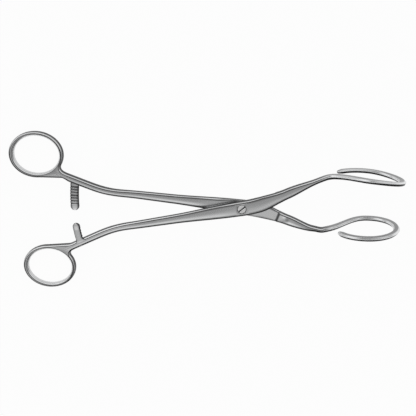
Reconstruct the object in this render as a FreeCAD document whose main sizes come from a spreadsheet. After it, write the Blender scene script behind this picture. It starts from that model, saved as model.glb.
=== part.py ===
import FreeCAD, Part
import math
import os

# Uterine elevating forceps: two crossed steel arms that turn on one screw.
# Each arm is one forging: finger ring, ratchet bar, shank, lap joint and an open loop at the tip.
# Frame: X runs along the instrument with the loops at +X, Y lies in the plane in which it opens,
# Z is the pivot axis. The origin is on that axis, at the flat rear face of the joint.
# The arms are drawn about the mid-plane where the two halves of the joint meet, with the ring at
# +Y and the loop at -Y. The front arm is the same forging turned half a turn about X.

os.makedirs("parts", exist_ok=True)
doc = FreeCAD.newDocument("uterine_elevating_forceps")

SIZES = [
    ("joint_half", 3.2, "thickness of each arm at the lap joint"),
    ("joint_play", 0.05, "gap from each arm to the mid-plane of the joint"),
    ("joint_width", 8.85, "width of an arm at the screw"),
    ("lap_length", 20.5, "distance from the screw to the shoulder of the lap"),
    ("shoulder_rise", 0.35, "length over which the lap shoulder rises"),
    ("edge_break", 0.9, "chamfer along the outer edges of the arms"),
    ("mating_break", 0.15, "chamfer along the edges that face the other arm"),
    ("handle_angle", 8.1, "angle of the straight handle shank to X, degrees"),
    ("rear_bend_start", 66.5, "where the rear handle shank starts to bend outwards"),
    ("rear_bend_angle", 23.5, "angle of the rear handle shank beyond the bend, degrees"),
    ("front_bend_start", 63.0, "where the front handle shank starts to bend outwards"),
    ("front_bend_angle", 23.0, "angle of the front handle shank beyond the bend, degrees"),
    ("handle_bend_length", 25.0, "length over which a handle shank bends"),
    ("handle_width", 4.15, "width of the handle shank next to the ring"),
    ("handle_depth", 4.2, "thickness of the handle shank next to the ring"),
    ("handle_taper", 3.0, "width that the handle shank loses in its long even taper"),
    ("handle_taper_length", 75.0, "length of the even taper, from the screw"),
    ("lap_swell_start", 6.0, "where the swelling of the lap joint starts to fade on the handle side"),
    ("lap_swell_length", 34.0, "length over which it fades"),
    ("offset_start", 60.0, "where the handle shank leaves its own side of the mid-plane"),
    ("offset_end", 84.0, "where it is centred on the mid-plane"),
    ("neck_sink_length", 9.0, "length over which the handle shank sinks into the web"),
    ("neck_sink", 0.6, "depth to which it sinks on each face"),
    ("jaw_bend_length", 18.5, "length over which the jaw shank bends outwards, from the screw"),
    ("jaw_angle", 22.3, "angle of the jaw shank beyond that bend, degrees"),
    ("jaw_root_width", 5.8, "width of the jaw shank beyond the lap joint"),
    ("jaw_root_start", 10.0, "where the jaw shank starts to narrow to that width"),
    ("jaw_root_length", 16.0, "length over which it narrows"),
    ("jaw_width", 2.9, "width of the jaw shank before the loop"),
    ("jaw_taper_start", 26.0, "where the jaw shank starts its second taper"),
    ("jaw_taper_length", 18.0, "length of the second taper"),
    ("jaw_depth", 4.1, "thickness of the jaw shank before the loop"),
    ("shoulder_top", 1.0, "height of the lap shoulder above the mid-plane"),
    ("shoulder_length", 18.0, "length over which the jaw shank leaves the depth of the lap"),
    ("loop_width", 30.0, "width of the loop between the centres of its bar"),
    ("loop_bar_depth", 3.8, "size of the loop's bar in the plane of the loop"),
    ("loop_bar_thick", 2.6, "size of the loop's bar across the plane of the loop"),
    ("loop_bar_break", 0.85, "chamfer along the loop's bar"),
    ("loop_merge_length", 12.0, "length over which the shank becomes the loop's bar"),
    ("loop_widest", 23.6, "distance from the heel to the widest place"),
    ("front_heel_reach", 50.8, "distance from the screw to the heel of the front loop"),
    ("front_heel_side", 18.0, "distance from X to that heel"),
    ("front_loop_length", 40.6, "length of the front loop from its heel to the centre of its bar at the tip"),
    ("front_heel_kick", 0.0, "extra outward bend at the heel of the front loop"),
    ("front_loop_lean", 6.3, "lean of the front loop towards the axis, degrees"),
    ("front_loop_bow", 1.9, "outward bow of the front loop"),
    ("front_loop_twist", 4.6, "twist of the front loop about its length, degrees"),
    ("front_free_angle", 45.3, "angle of the elliptical free branch of the front loop, degrees"),
    ("front_loop_close", 1.12, "length of the front loop's free branch as an ellipse, in widest lengths"),
    ("rear_heel_reach", 48.6, "distance from the screw to the heel of the rear loop"),
    ("rear_heel_side", 13.9, "distance from X to that heel"),
    ("rear_loop_length", 40.0, "length of the rear loop from its heel to the centre of its bar at the tip"),
    ("rear_heel_kick", 0.8, "extra outward bend at the heel of the rear loop"),
    ("rear_loop_lean", 0.0, "lean of the rear loop towards the axis, degrees"),
    ("rear_loop_bow", 0.0, "outward bow of the rear loop"),
    ("rear_loop_twist", -3.0, "twist of the rear loop about its length, degrees"),
    ("rear_free_angle", 67.6, "angle of the elliptical free branch of the rear loop, degrees"),
    ("rear_loop_close", 0.77, "length of the rear loop's free branch as an ellipse, in widest lengths"),
    ("ring_reach", 118.2, "distance from the screw to the centre of the ring"),
    ("rear_ring_drop", 1.1, "distance of the rear ring's centre line inside the end of its neck"),
    ("front_ring_drop", 1.8, "distance of the front ring's centre line inside the end of its neck"),
    ("ring_long", 14.85, "half of the ring's length, to the centre of its bar"),
    ("ring_short", 12.5, "half of the ring's width, to the centre of its bar"),
    ("ring_bar", 2.5, "width of the ring's bar"),
    ("ring_depth", 3.8, "thickness of the ring's bar"),
    ("ring_round", 1.0, "rounding of the ring's bar"),
    ("web_drop", 0.15, "drop from the face of the shank to the face of the web"),
    ("web_inset", 0.1, "distance of the web's edges inside the faces of the shank"),
    ("web_fall", 0.6, "distance of the web's long edge beyond the ring"),
    ("web_fillet", 3.6, "run of the concave edge between web and ratchet bar"),
    ("web_length", 9.35, "length of the web along the shank, from the ring's centre line"),
    ("notch_gap", 1.75, "distance from the ring's centre line to the hollow outer edge of the web"),
    ("ratchet_gap", 1.95, "distance from the ring's centre line to the ratchet bars"),
    ("rear_ratchet_width", 5.0, "width of the rear ratchet bar"),
    ("front_ratchet_width", 4.2, "width of the front ratchet bar"),
    ("rear_ratchet_side", 0.2, "distance from X to the end of the rear ratchet bar"),
    ("front_ratchet_side", 7.4, "distance from X to the end of the front ratchet bar"),
    ("tooth_pitch", 1.76, "pitch of the ratchet teeth"),
    ("tooth_depth", 0.7, "depth of the ratchet teeth"),
    ("tooth_land", 3.9, "smooth length at the end of a ratchet bar"),
    ("rear_teeth", 7, "grooves in the rear ratchet bar"),
    ("front_teeth", 4, "grooves in the front ratchet bar"),
    ("screw_radius", 1.65, "radius of the pivot screw"),
    ("screw_fit", 0.05, "radial clearance of the screw in the front arm"),
    ("thread_fit", 0.01, "radial clearance of the thread in the rear arm"),
    ("head_radius", 2.5, "radius of the screw head"),
    ("head_height", 1.15, "height of the screw head"),
    ("head_seat", 0.02, "gap under the screw head"),
    ("slot_width", 0.7, "width of the screwdriver slot"),
    ("slot_depth", 0.6, "depth of the screwdriver slot"),
    ("slot_angle", 38.0, "direction of the slot from X, degrees"),
]

sheet = doc.addObject("Spreadsheet::Sheet", "Sizes")
for row, (alias, value, note) in enumerate(SIZES, start=1):
    sheet.set(f"A{row}", note)
    sheet.set(f"B{row}", str(value))
    sheet.setAlias(f"B{row}", alias)
doc.recompute()


def size(alias):
    return float(getattr(sheet, alias))


def ease(share):
    # smooth step from 0 to 1 with level ends
    s = min(max(share, 0.0), 1.0)
    return s * s * (3.0 - 2.0 * s)


def ease_area(share):
    # area under the smooth step, and the full height beyond it
    s = min(max(share, 0.0), 1.0)
    return s ** 3 - s ** 4 / 2.0 + max(share - 1.0, 0.0)


def bent_line(reach, first, second, start, length):
    # distance from X of a line that turns from one slope to another over a length
    slope = math.tan(math.radians(first))
    turn = math.tan(math.radians(second)) - slope
    return slope * reach + turn * length * ease_area((reach - start) / length)


def handle_side(name, reach):
    return bent_line(reach, size("handle_angle"), size(name + "_bend_angle"),
                     size(name + "_bend_start"), size("handle_bend_length"))


def neck_reach():
    # the shank ends under the ring's own bar
    return size("ring_reach") - 0.72 * size("ring_long")


def ring_side(name):
    return handle_side(name, neck_reach()) + size("ring_short") - size(name + "_ring_drop")


def ratchet_outer():
    return size("ring_reach") - size("ring_long") - size("ratchet_gap")


def jaw_side(reach):
    return bent_line(reach, size("handle_angle"), size("jaw_angle"), 0.0, size("jaw_bend_length"))


def bar_section(centre, along, across, half_across, low, high, break_low, break_high):
    # eight-sided section of a bar: across is one side's direction, low and high are on the other
    upward = along.cross(across)
    corners = [
        (half_across, low + break_low),
        (half_across, high - break_high),
        (half_across - break_high, high),
        (break_high - half_across, high),
        (-half_across, high - break_high),
        (-half_across, low + break_low),
        (break_low - half_across, low),
        (half_across - break_low, low),
    ]
    points = [centre + across * a + upward * b for a, b in corners]
    return Part.makePolygon(points + points[:1])


def spread(first, last, count):
    # evenly spaced values with both ends
    return [first + (last - first) * i / (count - 1) for i in range(count)]


def handle_width(reach):
    # long even taper, with the swelling of the lap joint on top of it
    taper = size("handle_taper") * max(1.0 - reach / size("handle_taper_length"), 0.0)
    swell = size("joint_width") - size("handle_width") - size("handle_taper")
    fade = ease((reach - size("lap_swell_start")) / size("lap_swell_length"))
    return size("handle_width") + taper + swell * (1.0 - fade)


def jaw_shank_width(reach):
    # two tapers: out of the lap joint, and towards the heel of the loop
    root = ease((reach - size("jaw_root_start")) / size("jaw_root_length"))
    end = ease((reach - size("jaw_taper_start")) / size("jaw_taper_length"))
    lap, middle, last = size("joint_width"), size("jaw_root_width"), size("jaw_width")
    return last + (middle - last) * (1.0 - end) + (lap - middle) * (1.0 - root)


def handle_sections(name):
    # shank from the neck of the ring to the shoulder of the lap, on its own side of the mid-plane
    neck, bend = neck_reach(), size(name + "_bend_start")
    delta = 0.1
    sections = []
    for reach in spread(-neck, -bend, 12) + spread(-bend, 0.0, 7)[1:] + spread(0.0, size("lap_length"), 6)[1:]:
        distance = abs(reach)
        if reach < 0:
            side = handle_side(name, distance)
            step = handle_side(name, distance - delta) - handle_side(name, distance + delta)
            width = handle_width(distance)
            share = ease((distance - size("offset_start")) / (size("offset_end") - size("offset_start")))
            sink = ease((distance - neck + size("neck_sink_length")) / size("neck_sink_length"))
        else:
            side = -jaw_side(distance)
            step = jaw_side(distance - delta) - jaw_side(distance + delta)
            width = jaw_shank_width(distance)
            share = 0.0
            sink = 0.0
        along = FreeCAD.Vector(2.0 * delta, step, 0).normalize()
        across = FreeCAD.Vector(-along.y, along.x, 0)
        low = -size("joint_half") + (size("joint_half") - size("handle_depth") / 2) * share
        high = -size("joint_play") + (size("handle_depth") / 2 + size("joint_play")) * share
        width -= 3.0 * size("neck_sink") * sink
        low += size("neck_sink") * sink
        high -= size("neck_sink") * sink
        softer = 1.0 - 0.4 * sink
        upper_break = size("mating_break") + (size("edge_break") - size("mating_break")) * share
        centre = FreeCAD.Vector(reach, side, 0)
        sections.append(bar_section(centre, along, across, width / 2, low, high,
                                    size("edge_break") * softer, upper_break * softer))
    return sections


def jaw_sections(name):
    # shank beyond the shoulder of the lap, out to the heel and once round the open loop
    heel_reach = size(name + "_heel_reach")
    heel_side = size(name + "_heel_side")
    lean = math.radians(size(name + "_loop_lean"))
    bow = size(name + "_loop_bow")
    length = size(name + "_loop_length")
    widest = size("loop_widest")
    half = size("loop_width") / 2
    tip = length - widest
    close = size(name + "_loop_close") * widest
    free_angle = math.radians(size(name + "_free_angle"))
    merge = size("loop_merge_length")
    shoulder = size("lap_length") + size("shoulder_rise")
    corner = 0.6
    kick = size(name + "_heel_kick")

    def twist(u):
        # the shank lies flat at the shoulder and has the loop's twist at the heel
        share = ease((heel_reach + u - shoulder) / (heel_reach - shoulder))
        return math.radians(size(name + "_loop_twist")) * share

    def place(u, w):
        # u runs along the loop from its heel, w across it, positive towards the free side
        reach = heel_reach + u * math.cos(lean)
        line = heel_side - u * math.sin(lean) + bow * math.sin(math.pi * min(max(u / length, 0.0), 1.0))
        line += kick * math.exp(-(4.0 * u / merge + 1.0) ** 2)
        shank = jaw_side(reach)
        side = (line + shank) / 2 - math.sqrt(((line - shank) / 2) ** 2 + corner ** 2)
        side += (line - side) * ease((u - merge / 3) / (2 * merge / 3))
        return FreeCAD.Vector(reach, -side + w * math.sin(twist(u)), w * math.cos(twist(u)))

    def attached(u):
        rise = 0.5 - 0.5 * math.cos(math.pi * min(max(u / widest, 0.0), 1.0))
        return place(u, -half * rise ** 0.8)

    def round_tip(angle):
        return place(widest + tip * math.cos(angle), half * math.sin(angle))

    def free(angle):
        return place(widest - close * math.sin(angle), half * math.cos(angle))

    first = (shoulder - heel_reach) / math.cos(lean)
    path = [(attached, u) for u in spread(first, 0.0, 9)]
    path += [(attached, u) for u in spread(0.0, merge, 6)[1:] + spread(merge, widest, 4)[1:-1]]
    path += [(round_tip, math.radians(angle)) for angle in spread(-90.0, 90.0, 16)]
    path += [(free, angle) for angle in spread(0.0, free_angle, 8)[1:]]

    sections = []
    for i, (curve, t) in enumerate(path):
        delta = 0.02 if curve is attached else 0.001
        along = (curve(t + delta) - curve(t - delta)).normalize()
        turned = twist(t) if curve is attached else twist(0.0)
        normal = FreeCAD.Vector(math.sin(lean), math.cos(lean) * math.cos(turned), -math.sin(turned))
        across = (normal - along * normal.dot(along)).normalize()
        wide = size("loop_bar_thick")
        high = size("loop_bar_depth") / 2
        low = -high
        edge = size("loop_bar_break")
        if curve is attached and t < merge:
            reach = heel_reach + t
            share = ease(t / merge)
            deeper = 1.0 - ease((reach - shoulder) / size("shoulder_length"))
            deep = size("jaw_depth") / 2
            shank_low = -(deep + (size("joint_half") - deep) * deeper)
            shank_high = deep + (size("shoulder_top") - deep) * deeper
            shank_wide = jaw_shank_width(reach)
            wide = shank_wide + (wide - shank_wide) * share
            low = shank_low + (low - shank_low) * share
            high = shank_high + (high - shank_high) * share
            edge = size("edge_break") + (edge - size("edge_break")) * share
        # the free end is blunt and slightly drawn in
        slim = 0.6 if i == len(path) - 1 else 1.0
        sections.append(bar_section(curve(t), along, across, slim * wide / 2, slim * low, slim * high,
                                    slim * edge, slim * edge))
    return sections


def fixed_shape(name, shape):
    feature = doc.addObject("Part::Feature", name)
    feature.Shape = shape
    return feature


def origin_plane(body, role):
    for feature in body.Origin.OriginFeatures:
        if feature.Role == role:
            return feature
    raise ValueError(role)


def new_sketch(body, name, role, offset=None):
    sketch = body.newObject("Sketcher::SketchObject", name)
    sketch.AttachmentSupport = (origin_plane(body, role), [""])
    sketch.MapMode = "FlatFace"
    if offset is not None:
        sketch.AttachmentOffset = offset
    return sketch


def grip_ring(name):
    # oval finger ring: a rounded bar carried round an ellipse
    spine = doc.addObject("Part::Ellipse", name + "_ring_line")
    spine.setExpression("MajorRadius", "Sizes.ring_long")
    spine.setExpression("MinorRadius", "Sizes.ring_short")
    width, depth, radius = size("ring_bar") / 2, size("ring_depth") / 2, size("ring_round")
    corners = [(width, -depth), (width, depth), (-width, depth), (-width, -depth)]
    centre_x = size("ring_long")
    edges = []
    previous = None
    first = None
    for i, (a, b) in enumerate(corners):
        start_angle = (-90.0, 0.0, 90.0, 180.0)[i]
        middle = (a - math.copysign(radius, a), b - math.copysign(radius, b))
        arc_points = []
        for turn in (0.0, 45.0, 90.0):
            angle = math.radians(start_angle + turn)
            arc_points.append(FreeCAD.Vector(centre_x + middle[0] + radius * math.cos(angle), 0,
                                             middle[1] + radius * math.sin(angle)))
        if previous is not None:
            edges.append(Part.makeLine(previous, arc_points[0]))
        else:
            first = arc_points[0]
        edges.append(Part.Arc(*arc_points).toShape())
        previous = arc_points[2]
    edges.append(Part.makeLine(previous, first))
    section = fixed_shape(name + "_ring_section", Part.Wire(edges))
    ring = doc.addObject("Part::Sweep", name + "_ring")
    ring.Sections = [section]
    ring.Spine = (spine, ["Edge1"])
    ring.Solid = True
    ring.Frenet = True
    ring.setExpression("Placement.Base.x", "-Sizes.ring_reach")
    ring.Placement.Base.y = ring_side(name)
    return ring


def grip_web(name):
    # flat web that fills the corner between ring, shank and ratchet bar
    body = doc.addObject("PartDesign::Body", name + "_web")
    sketch = new_sketch(body, name + "_web_outline", "XY_Plane")
    reach, side = size("ring_reach"), ring_side(name)
    long, short, bar = size("ring_long"), size("ring_short"), size("ring_bar") / 2
    edge = size("handle_width") / 2 - size("web_inset")

    def on_ring(angle, outward):
        turn = math.radians(angle)
        return FreeCAD.Vector(-reach + (long + outward) * math.cos(turn),
                              side + (short + outward) * math.sin(turn), 0)

    def beside_shank(distance, outward):
        slope = math.radians(size(name + "_bend_angle"))
        return FreeCAD.Vector(-distance - outward * math.sin(slope),
                              handle_side(name, distance) + outward * math.cos(slope), 0)

    fillet = size("web_fillet")
    tangent = on_ring(-88.0, bar)
    corner = FreeCAD.Vector(-ratchet_outer() - fillet, side - short - bar - size("web_fall"), 0)
    root = beside_shank(ratchet_outer() - fillet / 2, -edge)
    bulge = (root - corner).cross(FreeCAD.Vector(0, 0, 1)).normalize() * -0.18 * fillet
    middle = (corner + root) * 0.5 + bulge
    web_end = reach - long - size("web_length")
    inner = beside_shank(web_end, -edge / 2)
    outer = beside_shank(web_end, edge)
    notch_low = beside_shank(reach - long - size("notch_gap"), edge)
    notch_high = on_ring(-28.0, bar - size("web_inset"))
    hollow = (notch_high - notch_low).cross(FreeCAD.Vector(0, 0, 1)).normalize() * -0.6
    notch = (notch_low + notch_high) * 0.5 + hollow
    ring_side_points = [on_ring(angle, 0.0) for angle in (-30.0, -60.0, -88.0)]
    geometry = [
        Part.LineSegment(tangent, corner),
        Part.Arc(corner, middle, root),
        Part.LineSegment(root, inner),
        Part.LineSegment(inner, outer),
        Part.LineSegment(outer, notch_low),
        Part.Arc(notch_low, notch, notch_high),
        Part.LineSegment(notch_high, ring_side_points[0]),
        Part.Arc(*ring_side_points),
        Part.LineSegment(ring_side_points[2], tangent),
    ]
    sketch.addGeometry(geometry, False)
    pad = body.newObject("PartDesign::Pad", name + "_web_pad")
    pad.Profile = sketch
    pad.Midplane = True
    pad.setExpression("Length", "Sizes.handle_depth - 2 * Sizes.web_drop")
    return body


def ratchet_bar(name):
    # bar that follows an arc about the screw, with saw-tooth grooves across its inner face
    body = doc.addObject("PartDesign::Body", name + "_ratchet")
    outer = ratchet_outer()
    inner = outer - size(name + "_ratchet_width")
    middle, half = (inner + outer) / 2, (outer - inner) / 2
    tip = math.pi - math.asin((size(name + "_ratchet_side") + half) / middle)
    root = math.pi - math.asin(handle_side(name, middle) / middle)

    def at(radius, angle):
        return FreeCAD.Vector(radius * math.cos(angle), radius * math.sin(angle), 0)

    sketch = new_sketch(body, name + "_ratchet_outline", "XY_Plane")
    centre = FreeCAD.Vector(0, 0, 0)
    upward = FreeCAD.Vector(0, 0, 1)
    sketch.addGeometry([
        Part.ArcOfCircle(Part.Circle(centre, upward, outer), root, tip),
        Part.ArcOfCircle(Part.Circle(at(middle, tip), upward, half), tip, tip + math.pi),
        Part.ArcOfCircle(Part.Circle(centre, upward, inner), root, tip),
        Part.LineSegment(at(inner, root), at(outer, root)),
    ], False)
    pad = body.newObject("PartDesign::Pad", name + "_ratchet_pad")
    pad.Profile = sketch
    pad.Reversed = True
    pad.setExpression("Length", "Sizes.handle_depth / 2 - Sizes.joint_play")
    sketch.setExpression("AttachmentOffset.Base.z", "-Sizes.joint_play")
    doc.recompute()
    # the first groove lies next to the smooth end, the others follow it round the screw
    pitch = size("tooth_pitch") / middle
    first = (size(name + "_ratchet_side") + size("tooth_land")) / middle
    top, depth = 0.2, size("tooth_depth")
    groove = new_sketch(body, name + "_groove", "YZ_Plane")
    low_y = middle * math.sin(first)
    steep, gentle = 0.25 * size("tooth_pitch"), 0.6 * size("tooth_pitch")
    crest = -size("joint_play")
    profile = [
        FreeCAD.Vector(low_y - steep, crest + top, 0),
        FreeCAD.Vector(low_y - steep, crest, 0),
        FreeCAD.Vector(low_y, crest - depth, 0),
        FreeCAD.Vector(low_y + gentle, crest, 0),
        FreeCAD.Vector(low_y + gentle, crest + top, 0),
    ]
    sides = [Part.LineSegment(profile[i], profile[(i + 1) % len(profile)]) for i in range(len(profile))]
    groove.addGeometry(sides, False)
    groove.AttachmentOffset.Base.z = 3.0 - inner
    cut = body.newObject("PartDesign::Pocket", name + "_groove_cut")
    cut.Profile = groove
    cut.Reversed = False
    cut.setExpression("Length", "Sizes." + name + "_ratchet_width + 6")
    doc.recompute()
    pattern = body.newObject("PartDesign::PolarPattern", name + "_grooves")
    pattern.Originals = [cut]
    pattern.Axis = (origin_plane(body, "Z_Axis"), [""])
    pattern.Reversed = True
    pattern.Mode = "Spacing"
    pattern.Offset = math.degrees(pitch)
    pattern.setExpression("Occurrences", "Sizes." + name + "_teeth")
    body.Tip = pattern
    return body


def cylinder(name, radius, low, height):
    feature = doc.addObject("Part::Cylinder", name)
    feature.setExpression("Radius", radius)
    feature.setExpression("Height", height)
    feature.setExpression("Placement.Base.z", low)
    return feature


def arm(name, hole_tools):
    bar = fixed_shape(name + "_bar", Part.makeLoft(handle_sections(name) + jaw_sections(name), True, True))
    blank = doc.addObject("Part::MultiFuse", name + "_blank")
    blank.Shapes = [bar, grip_ring(name), grip_web(name), ratchet_bar(name)]
    finished = doc.addObject("Part::Cut", name + "_arm")
    finished.Base = blank
    finished.Tool = hole_tools
    finished.Label = name + "_arm"
    return finished


def rear_arm():
    thread = cylinder("rear_thread_hole", "Sizes.screw_radius + Sizes.thread_fit",
                      "-Sizes.joint_half - 1", "Sizes.joint_half + 2")
    finished = arm("rear", thread)
    finished.setExpression("Placement.Base.z", "Sizes.joint_half")
    return finished


def front_arm():
    # drawn upside down, so its counterbore opens at the lowest face
    bore = cylinder("front_bore", "Sizes.screw_radius + Sizes.screw_fit",
                    "-Sizes.joint_half - 1", "Sizes.joint_half + 2")
    sink = cylinder("front_counterbore", "Sizes.head_radius + Sizes.screw_fit",
                    "-Sizes.joint_half - 1", "Sizes.head_height + Sizes.head_seat + 1")
    holes = doc.addObject("Part::Fuse", "front_holes")
    holes.Base = bore
    holes.Tool = sink
    finished = arm("front", holes)
    finished.Placement = FreeCAD.Placement(FreeCAD.Vector(0, 0, 0),
                                           FreeCAD.Rotation(FreeCAD.Vector(1, 0, 0), 180))
    finished.setExpression("Placement.Base.z", "Sizes.joint_half")
    return finished


def pivot_screw():
    # slotted screw, flush with the front arm and ground off level with the rear one
    body = doc.addObject("PartDesign::Body", "pivot_screw")
    body.Label = "pivot_screw"
    half, head, height = size("joint_half"), size("head_radius"), size("head_height")
    radius, rim = size("screw_radius"), 0.25
    profile = [
        (0, -half), (radius, -half), (radius, half - height), (head, half - height),
        (head, half - rim), (head - rim, half), (0, half),
    ]
    points = [FreeCAD.Vector(a, b, 0) for a, b in profile]
    sketch = new_sketch(body, "screw_profile", "XZ_Plane")
    sketch.addGeometry([Part.LineSegment(points[i], points[(i + 1) % len(points)])
                        for i in range(len(points))], False)
    turned = body.newObject("PartDesign::Revolution", "screw_turned")
    turned.Profile = sketch
    turned.ReferenceAxis = (sketch, ["V_Axis"])
    turned.Angle = 360
    doc.recompute()
    slot = new_sketch(body, "screw_slot_outline", "XY_Plane")
    a, b = head + 1, size("slot_width") / 2
    turn = math.radians(size("slot_angle"))
    corners = []
    for x, y in ((-a, -b), (a, -b), (a, b), (-a, b)):
        corners.append(FreeCAD.Vector(x * math.cos(turn) - y * math.sin(turn),
                                      x * math.sin(turn) + y * math.cos(turn), 0))
    slot.addGeometry([Part.LineSegment(corners[i], corners[(i + 1) % 4]) for i in range(4)], False)
    slot.setExpression("AttachmentOffset.Base.z", "Sizes.joint_half")
    cut = body.newObject("PartDesign::Pocket", "screw_slot")
    cut.Profile = slot
    cut.setExpression("Length", "Sizes.slot_depth")
    body.setExpression("Placement.Base.z", "Sizes.joint_half")
    return body


nodes = [rear_arm(), front_arm(), pivot_screw()]
doc.recompute()

for feature in doc.Objects:
    if "Invalid" in feature.State or "Error" in feature.State:
        raise RuntimeError(f"{feature.Name} did not build: {feature.State}")
for node in nodes:
    shape = node.Shape
    if shape.isNull() or not shape.isValid():
        raise RuntimeError(f"{node.Label} has no valid shape")
    if len(shape.Solids) != 1:
        raise RuntimeError(f"{node.Label} is {len(shape.Solids)} solids")
    shape.exportStep(f"parts/{node.Label}.step")
    box = shape.BoundBox
    print(node.Label, "volume", round(shape.Volume, 1), "x", round(box.XMin, 1), round(box.XMax, 1),
          "y", round(box.YMin, 1), round(box.YMax, 1), "z", round(box.ZMin, 1), round(box.ZMax, 1))
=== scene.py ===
# %% [markdown]
# # Uterine elevating forceps
# Two crossed arms of satin stainless steel turn on one slotted screw. Each arm has a finger ring, a ratchet
# bar, a slender shank, half of the lap joint and an open loop. The solid model gives the sizes, and this
# lesson dresses it: every visible form becomes a surface worked out with numpy, with softly rounded edges
# and a brushed finish. It opens with the solid model, which stays fixed.

# %% Load the solid model
import math
import bmesh
import bpy
import numpy as np
from mathutils import Matrix, Vector


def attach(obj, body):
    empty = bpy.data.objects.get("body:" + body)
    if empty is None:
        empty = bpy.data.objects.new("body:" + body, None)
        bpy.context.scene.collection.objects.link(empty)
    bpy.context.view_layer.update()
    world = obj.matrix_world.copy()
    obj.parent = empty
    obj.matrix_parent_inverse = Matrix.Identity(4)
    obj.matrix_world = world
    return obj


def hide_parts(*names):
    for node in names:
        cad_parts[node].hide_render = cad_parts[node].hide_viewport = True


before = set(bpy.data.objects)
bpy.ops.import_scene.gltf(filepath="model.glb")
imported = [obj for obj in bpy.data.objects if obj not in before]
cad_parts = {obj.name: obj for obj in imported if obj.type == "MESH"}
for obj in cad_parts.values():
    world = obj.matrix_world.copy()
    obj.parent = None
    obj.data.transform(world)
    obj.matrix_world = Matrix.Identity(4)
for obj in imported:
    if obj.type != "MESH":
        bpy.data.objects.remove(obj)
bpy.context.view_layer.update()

# %% [markdown]
# ## The lines that the arms follow
# On the real tool the shanks are bent bars: a straight run, a smooth bend, another straight run. A spline
# through picked points would do, but a formula keeps the bend where the solid has it. So each line is a
# slope that eases from one angle to another. All lengths are millimetres about the plane where the halves
# of the joint meet, with the ring at +y and the loop at -y, and the front arm is turned over at the end.

# %% Easing and bent lines
MM_IN_METRE = 1000.0


def ease(share):
    """Smooth step: 3 s squared minus 2 s cubed, with s held between 0 and 1."""
    s = np.clip(share, 0.0, 1.0)
    return s * s * (3.0 - 2.0 * s)


def over(place, start, length):
    """Smooth step from a start over a length: its share is place minus start, over length."""
    return ease((place - start) / length)


def bell(place, middle, run):
    """Bell curve: e to minus the square of place minus middle, over run."""
    return np.exp(-((place - middle) / run) ** 2)


def unit(vectors):
    """Vectors divided by their lengths."""
    return vectors / np.linalg.norm(vectors, axis=-1, keepdims=True)


def circle(radius, angle, z):
    """Points on a circle about the screw: radius times cosine and sine of the angle, at a height."""
    return np.stack([radius * np.cos(angle), radius * np.sin(angle), 0 * angle + z], -1)


def ease_area(share):
    """Area under the smooth step: s cubed minus half of s to the fourth, then the full height beyond 1."""
    s = np.clip(share, 0.0, 1.0)
    return s ** 3 - s ** 4 / 2.0 + np.maximum(share - 1.0, 0.0)


def bent_line(reach, first, second, start, length):
    """Height of a line: slope of the first angle times reach, plus the change of slope times the eased area."""
    slope = math.tan(math.radians(first))
    turn = math.tan(math.radians(second)) - slope
    return slope * reach + turn * length * ease_area((reach - start) / length)


JOINT_HALF, JUNCTION = 3.2, 99.5
HANDLE_ANGLE, BEND_LENGTH = 8.1, 25.0
JAW_ANGLE, JAW_BEND = 22.3, 18.5
REAR = dict(name="rear", bend_start=66.5, bend_angle=23.5, heel_reach=48.6, heel_side=13.9, loop_length=40.0,
            kick=0.8, lean=0.0, bow=0.0, twist=-3.0, free_angle=67.6, close=0.77, ring_drop=1.1,
            ratchet_width=5.0, ratchet_side=0.2, teeth=7, outer_fillet=2.0, inner_fillet=2.2)
FRONT = dict(name="front", bend_start=63.0, bend_angle=23.0, heel_reach=50.8, heel_side=18.0, loop_length=40.6,
             kick=0.0, lean=6.3, bow=1.9, twist=4.6, free_angle=45.3, close=1.12, ring_drop=1.8,
             ratchet_width=4.2, ratchet_side=7.4, teeth=4, outer_fillet=3.4, inner_fillet=1.5)


def handle_side(arm, reach):
    """Distance of the handle shank's centre from X at a distance from the screw."""
    return bent_line(reach, HANDLE_ANGLE, arm["bend_angle"], arm["bend_start"], BEND_LENGTH)


def jaw_side(reach):
    """Distance of the jaw shank's centre from X at a distance from the screw."""
    return bent_line(reach, HANDLE_ANGLE, JAW_ANGLE, 0.0, JAW_BEND)


print("shank at the web", round(float(handle_side(REAR, JUNCTION)), 2), "mm from X")

# %% [markdown]
# ## One section for every bar
# Forged instruments have broken edges: flats, a 45 degree facet along each edge, and side walls, and where
# two of them meet the polishing wheel leaves a small radius. A Bevel modifier could round them, but it
# can't follow facets that grow and shrink along the bar. So the section is computed, corner by corner.

# %% Profile of a broken edge
EDGE_POINTS = 12
ROUNDING, LARGEST_CUT, FLAT_REACH = 0.34, 0.38, 9.0


def edge_profile(low, high, break_low, break_high, crown_low, crown_high, rounding=ROUNDING):
    """Twelve points from the upper flat, over facet, wall and facet, to the lower flat, for each station.

    Each corner gives three points: one cut back towards its neighbour on either side, and between them a
    quarter of each plus half of the corner. The first number is the distance inside the wall. The crowns
    are how far the flats fall to their edges."""
    zero = np.zeros_like(low)
    inset = np.stack([zero + far for far in (FLAT_REACH, break_high, 0.0, 0.0, break_low, FLAT_REACH)], -1)
    top, bottom = high - crown_high, low + crown_low
    level = np.stack([top, top, high - break_high, low + break_low, bottom, bottom], -1)
    corner = np.stack([inset, level], -1)
    step = corner[:, 1:] - corner[:, :-1]
    length = np.linalg.norm(step, axis=-1, keepdims=True)
    step = step / length
    cut = np.minimum(rounding, LARGEST_CUT * np.minimum(length[:, :-1], length[:, 1:]))
    before = corner[:, 1:-1] - step[:, :-1] * cut
    after = corner[:, 1:-1] + step[:, 1:] * cut
    middle = 0.25 * before + 0.5 * corner[:, 1:-1] + 0.25 * after
    return np.stack([before, middle, after], 2).reshape(len(low), EDGE_POINTS, 2)
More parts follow.
